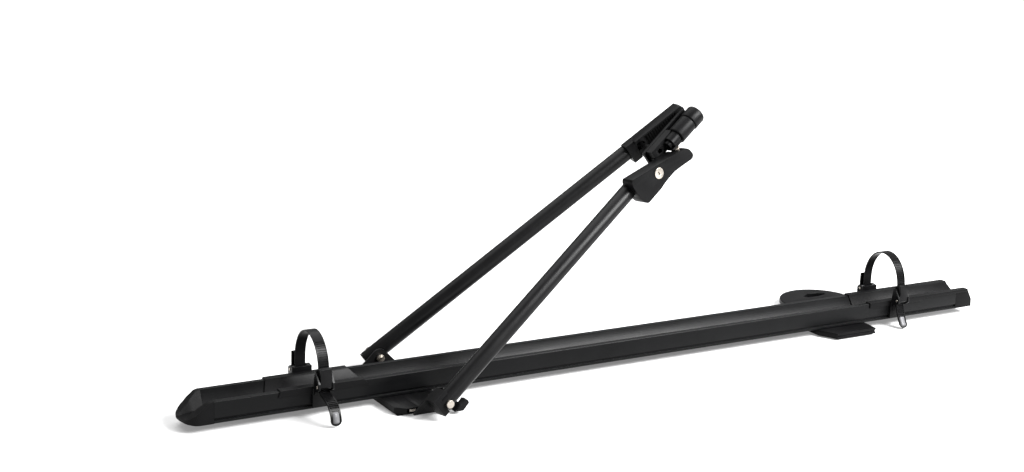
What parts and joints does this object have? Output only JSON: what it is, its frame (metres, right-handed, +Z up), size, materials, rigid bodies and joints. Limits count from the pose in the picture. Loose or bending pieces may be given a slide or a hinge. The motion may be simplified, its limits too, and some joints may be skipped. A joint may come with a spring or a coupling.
{
  "type": "roof-mounted bicycle carrier",
  "caption": "Roof bicycle carrier: a trough rail on crossbar feet, sliding wheel holders with ratchet straps, and folding tubular arms that meet in a frame clamp with a locking lever.",
  "frame": {"origin": "middle of the front foot pad's underside, where the carrier sits on the front crossbar", "axes": "+X along the rail from the nose to the rear end, +Y to the side away from the lock and the buckles, +Z up"},
  "size_m": [1.4624, 0.3086, 0.4078],
  "materials": {
    "black_aluminium": "black anodised extrusion, satin",
    "black_steel": "black powder coat, satin with a fine grain",
    "black_plastic": "black moulded nylon, fine spark-eroded texture",
    "strap_plastic": "black flexible strap plastic, slightly glossy",
    "black_rubber": "black rubber, dull",
    "zinc_steel": "zinc-plated steel fixings, bright"
  },
  "bodies": {
    "root": {"rail": "black_aluminium", "nose_cap": "black_plastic", "rear_end_cap": "black_plastic", "front_foot": "black_plastic", "front_foot_pad": "black_rubber", "front_foot_bolt": "zinc_steel", "rear_foot": "black_plastic", "rear_foot_pad": "black_rubber", "front_foot_t_bolt": "zinc_steel", "rear_foot_t_bolt": "zinc_steel", "bracket_t_bolt": "zinc_steel", "bracket_nut": "zinc_steel", "arm_bracket": "black_steel", "near_pivot_bolt": "zinc_steel", "near_pivot_nut": "zinc_steel", "far_pivot_bolt": "zinc_steel", "far_pivot_nut": "zinc_steel"},
    "arms": {"near_arm_tube": "black_steel", "far_arm_tube": "black_steel", "near_arm_shoe": "black_plastic", "far_arm_end_plug": "black_plastic", "head_block": "black_plastic", "near_jaw_pad": "black_rubber", "jaw_guide_pin": "black_steel", "lever_pin": "zinc_steel", "far_jaw_socket": "black_plastic", "far_jaw_pin": "black_steel"},
    "lever": {"quick_release_lever": "black_plastic"},
    "lock": {"lock_barrel": "zinc_steel"},
    "knob": {"knob_body": "black_plastic", "knob_cap": "black_plastic", "knob_spindle": "zinc_steel"},
    "far_jaw": {"far_jaw": "black_plastic", "far_jaw_pad": "black_rubber"},
    "dial": {"rear_dial": "black_plastic", "dial_spindle": "black_steel"},
    "front_holder": {"front_wheel_holder": "black_plastic", "front_strap": "strap_plastic", "front_strap_anchor": "strap_plastic", "front_anchor_pin": "zinc_steel", "front_buckle_frame": "strap_plastic", "front_buckle_pin": "zinc_steel"},
    "front_buckle": {"front_buckle_lever": "strap_plastic"},
    "rear_holder": {"rear_wheel_holder": "black_plastic", "rear_strap": "strap_plastic", "rear_strap_anchor": "strap_plastic", "rear_anchor_pin": "zinc_steel", "rear_buckle_frame": "strap_plastic", "rear_buckle_pin": "zinc_steel"},
    "rear_buckle": {"rear_buckle_lever": "strap_plastic"}
  },
  "joints": [
    {"name": "arms_fold", "type": "hinge", "parent": "root", "child": "arms", "pos_m": [0.0348, 0, 0.027], "axis": [0, 1, 0], "range_deg": [-50, 25]},
    {"name": "lever_open", "type": "hinge", "parent": "arms", "child": "lever", "pos_m": [0.47048, -0.04385, 0.345], "axis": [-0.6074, 0, 0.7944], "range_deg": [0, 67]},
    {"name": "lock_turn", "type": "hinge", "parent": "lever", "child": "lock", "pos_m": [0.42402, -0.05764, 0.31602], "axis": [-0.1243, 0.9877, -0.095], "range_deg": [0, 90]},
    {"name": "knob_turn", "type": "hinge", "parent": "arms", "child": "knob", "pos_m": [0.49773, -0.0243, 0.38094], "axis": [0.7846, 0.1564, 0.5999], "range_deg": [0, 720]},
    {"name": "far_jaw_open", "type": "hinge", "parent": "arms", "child": "far_jaw", "pos_m": [0.44283, 0.03221, 0.33896], "axis": [-0.6074, 0, 0.7944], "range_deg": [0, 30]},
    {"name": "dial_turn", "type": "hinge", "parent": "root", "child": "dial", "pos_m": [0.9075, 0.104, 0.0095], "axis": [0, 0, 1], "continuous": true},
    {"name": "front_holder_slide", "type": "slide", "parent": "root", "child": "front_holder", "axis": [1, 0, 0], "range_m": [-0.04, 0.06]},
    {"name": "rear_holder_slide", "type": "slide", "parent": "root", "child": "rear_holder", "axis": [1, 0, 0], "range_m": [-0.045, 0]},
    {"name": "front_buckle_open", "type": "hinge", "parent": "front_holder", "child": "front_buckle", "pos_m": [-0.12, -0.0482, 0.049], "axis": [1, 0, 0], "range_deg": [0, 70]},
    {"name": "rear_buckle_open", "type": "hinge", "parent": "rear_holder", "child": "rear_buckle", "pos_m": [0.9599, -0.0482, 0.049], "axis": [1, 0, 0], "range_deg": [0, 70]}
  ],
  "couplings": [
    {"joint": "far_jaw_open", "follows": "knob_turn", "ratio": 0.041667}
  ]
}
